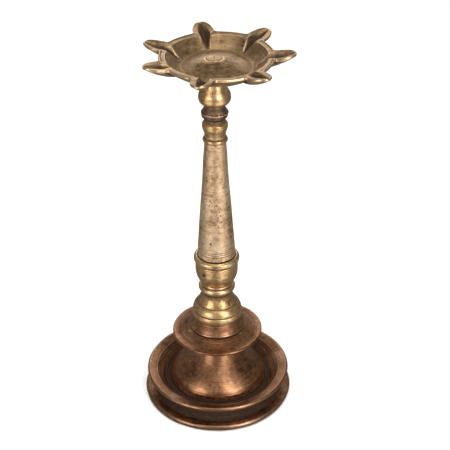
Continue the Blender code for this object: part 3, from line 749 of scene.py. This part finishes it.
def dish_grid():
    """Points of the dish by column and row, and how far along and across its spout each one is."""
    points, local = [], []
    for (bearing, top), (_, under) in zip(dish_columns(TOP_SHARES), dish_columns(UNDER_SHARES)):
        plan, height = dish_section(top, under)
        c, s = math.cos(bearing), math.sin(bearing)
        x, y = plan[:, 0] * c - plan[:, 1] * s, plan[:, 0] * s + plan[:, 1] * c
        points.append(np.column_stack([x, y, height]))
        local.append(np.column_stack([plan[:, 0], np.abs(plan[:, 1])]))
    return np.array(points), np.array(local)


def dish_grime_and_shade(radius, along, across):
    """Soot in the channels, a faint darker line round the mound's foot, and painted shade on the underside.
    """
    columns, rows = radius.shape
    top_rows = len(HUB) + len(TOP_RADII) + len(TOP_SHARES)
    is_top = (np.arange(rows) < top_rows)[None] * np.ones((columns, 1))
    half_channel = channel_half_width(along)
    inside = 1 - smooth_step(across, half_channel * 0.3, half_channel * 1.05)
    soot = inside * smooth_step(along, CHANNEL_START - 1, CHANNEL_START + 4) * is_top
    soot = soot * (1 - 0.6 * smooth_step(along, 52, SPOUT_TIP)) * (0.55 + 0.45 * ridge(across, 0, 1.2))
    foot_line = ridge(np.hypot(along, across), 30.6, 0.9) * is_top
    return np.maximum.reduce([0.8 * soot, 0.1 * foot_line, 0.45 * (1 - is_top) * (radius < 46)])


def make_dish():
    """The dish and its seven spouts as one fine casting."""
    grid, local = dish_grid()
    along, across = local[..., 0], local[..., 1]
    radius = np.hypot(grid[..., 0], grid[..., 1])
    askew = smooth_step(radius, ASKEW_START, ASKEW_FULL)
    grid[..., 2] += rim_waves(grid) + ASKEW_SLOPE * grid[..., 1] * askew
    grid[..., 0] += ASKEW_SHIFT * askew

    normals = grid_normals(grid)
    # Grooves and hollows get painted shade and dirt through crease and hollow, weaker round the mound's foot;
    # raised crests are coloured bright.
    calm = 1 - 0.7 * ridge(np.hypot(along, across), 30.2, 2.5)
    crease = np.sum((grid - calmer(grid, 8, (1,))) * normals, axis=2)
    crease += np.sum((grid - calmer(grid, 2, (0,))) * normals, axis=2) * (across < 9)
    hollow = np.sum((grid - calmer(grid, 24)) * normals, axis=2)
    values = {"crease": (crease * calm).ravel(), "hollow": (hollow * calm).ravel(),
              "path": radius.ravel(), "grime_and_shade": dish_grime_and_shade(radius, along, across).ravel()}
    verts = uneven(grid.reshape(-1, 3), normals.reshape(-1, 3), 0.25, 0.1)
    faces = grid_faces(*radius.shape, True)
    add_piece("fine_oil_dish", verts, faces, values, "oil_dish", "dish_gold")


def rim_waves(grid):
    """How far the hand-worked rim and spouts stand above or below their level."""
    radius = np.hypot(grid[..., 0], grid[..., 1])
    waves = np.zeros_like(radius)
    for index in np.ndindex(radius.shape):
        if radius[index] > 34:
            x, y = grid[index][:2] / radius[index]
            waves[index] = noise.noise(Vector((x * 2.4, y * 2.4, 4.2))) * 0.9
    return waves * smooth_step(radius, 36, 50)


def grid_normals(grid):
    """Unit normals of a closed grid of points."""
    across = np.roll(grid, -1, 0) - np.roll(grid, 1, 0)
    down = np.roll(grid, -1, 1) - np.roll(grid, 1, 1)
    normals = np.cross(down, across)
    return normals / np.maximum(np.linalg.norm(normals, axis=2), 1e-9)[..., None]


def calmer(grid, passes, axes=(0, 1)):
    """The grid after rounds of averaging each point with its neighbours along the axes."""
    for _ in range(passes):
        around = sum(np.roll(grid, shift, axis) for shift in (-1, 1) for axis in axes)
        grid = (grid * 2 + around) / (2 + 2 * len(axes))
    return grid


# ---------------------------------------------------------------- studio

CAMERA_PLACE = (0, -0.8164, 0.6848)      # metres
CAMERA_HEADING = -0.556                  # degrees round the vertical
CAMERA_TILT = 58.39                      # degrees up from straight down
CAMERA_ROLL = -0.38                      # degrees round its own axis
CAMERA_LENS = 85.77                      # on a sensor 36 wide
FLOOR_DROP = 0.0002                      # metres; the uneven foot reaches nearly as far below the CAD's


def add_camera():
    """Camera at the photograph's place."""
    camera = bpy.data.cameras.new("camera")
    camera.lens = CAMERA_LENS
    camera.sensor_width = 36
    camera.clip_start = 0.01
    item = bpy.data.objects.new("camera", camera)
    turn = (Matrix.Rotation(math.radians(CAMERA_HEADING), 4, "Z")
            @ Matrix.Rotation(math.radians(CAMERA_TILT), 4, "X")
            @ Matrix.Rotation(math.radians(CAMERA_ROLL), 4, "Z"))
    item.matrix_world = Matrix.Translation(CAMERA_PLACE) @ turn
    bpy.context.scene.collection.objects.link(item)
    bpy.context.scene.camera = item


def add_softbox(name, place, target, size, radiance, glossy=True):
    """Rectangular light aimed at a point; place, target and size in metres. glossy: seen in the metal."""
    light = bpy.data.lights.new(name, "AREA")
    light.shape = "RECTANGLE"
    light.size, light.size_y = size
    light.energy = radiance * math.pi * size[0] * size[1]
    item = bpy.data.objects.new(name, light)
    item.location = place
    aim = Vector(target) - Vector(place)
    item.rotation_euler = aim.to_track_quat("-Z", "Y").to_euler()
    item.visible_camera = False
    item.visible_glossy = glossy
    bpy.context.scene.collection.objects.link(item)


def add_studio():
    """Pale floor, dim surroundings, softboxes at both sides, above and behind, and low cards.

    The cards lie on the floor and light the upright walls from below.
    """
    plane = bpy.data.meshes.new("floor")
    half = 4.0
    corners = [(-half, -half, 0), (half, -half, 0), (half, half, 0), (-half, half, 0)]
    plane.from_pydata(corners, [], [(0, 1, 2, 3)])
    paper = bpy.data.materials.new("white paper")
    paper.use_nodes = True
    shader = paper.node_tree.nodes["Principled BSDF"]
    shader.inputs["Base Color"].default_value = (0.93, 0.93, 0.93, 1)
    shader.inputs["Roughness"].default_value = 0.9
    plane.materials.append(paper)
    floor = bpy.data.objects.new("floor", plane)
    floor.location.z = -FLOOR_DROP
    bpy.context.scene.collection.objects.link(floor)
    floor.visible_glossy = False

    world = bpy.data.worlds.new("studio")
    world.use_nodes = True
    world.node_tree.nodes["Background"].inputs["Color"].default_value = (1, 0.98, 0.95, 1)
    world.node_tree.nodes["Background"].inputs["Strength"].default_value = 0.24
    bpy.context.scene.world = world

    middle = (0, 0, 0.17)
    add_softbox("key", (0.64, -0.88, 0.53), middle, (0.34, 0.6), 7.8)
    add_softbox("high key", (0.42, -0.72, 0.96), middle, (0.3, 0.46), 5.0)
    add_softbox("fill", (-0.7, -0.78, 0.5), middle, (0.46, 0.6), 4.4)
    add_softbox("table glow right", (0.36, -0.48, 0.012), (0.36, -0.4, 1), (0.6, 0.62), 1.4)
    add_softbox("table glow left", (-0.38, -0.48, 0.012), (-0.38, -0.4, 1), (0.5, 0.62), 1.2)
    add_softbox("ceiling", (0, -0.35, 1.5), middle, (0.9, 1.0), 1.1)
    add_softbox("back wall", (0, 1.2, 0.9), middle, (1.0, 0.9), 1.2)
    add_softbox("floor wash", (0, -0.2, 2.2), middle, (3.0, 3.0), 2.2, glossy=False)
    bpy.context.scene.view_settings.view_transform = "Standard"


FINISHES = make_finishes()
make_foot()
make_tray()
make_saucer()
make_seat_ring()
make_baluster()
make_shaft()
make_pin()
make_base_screw()
make_neck()
make_neck_rod()
make_dish()
add_camera()
add_studio()
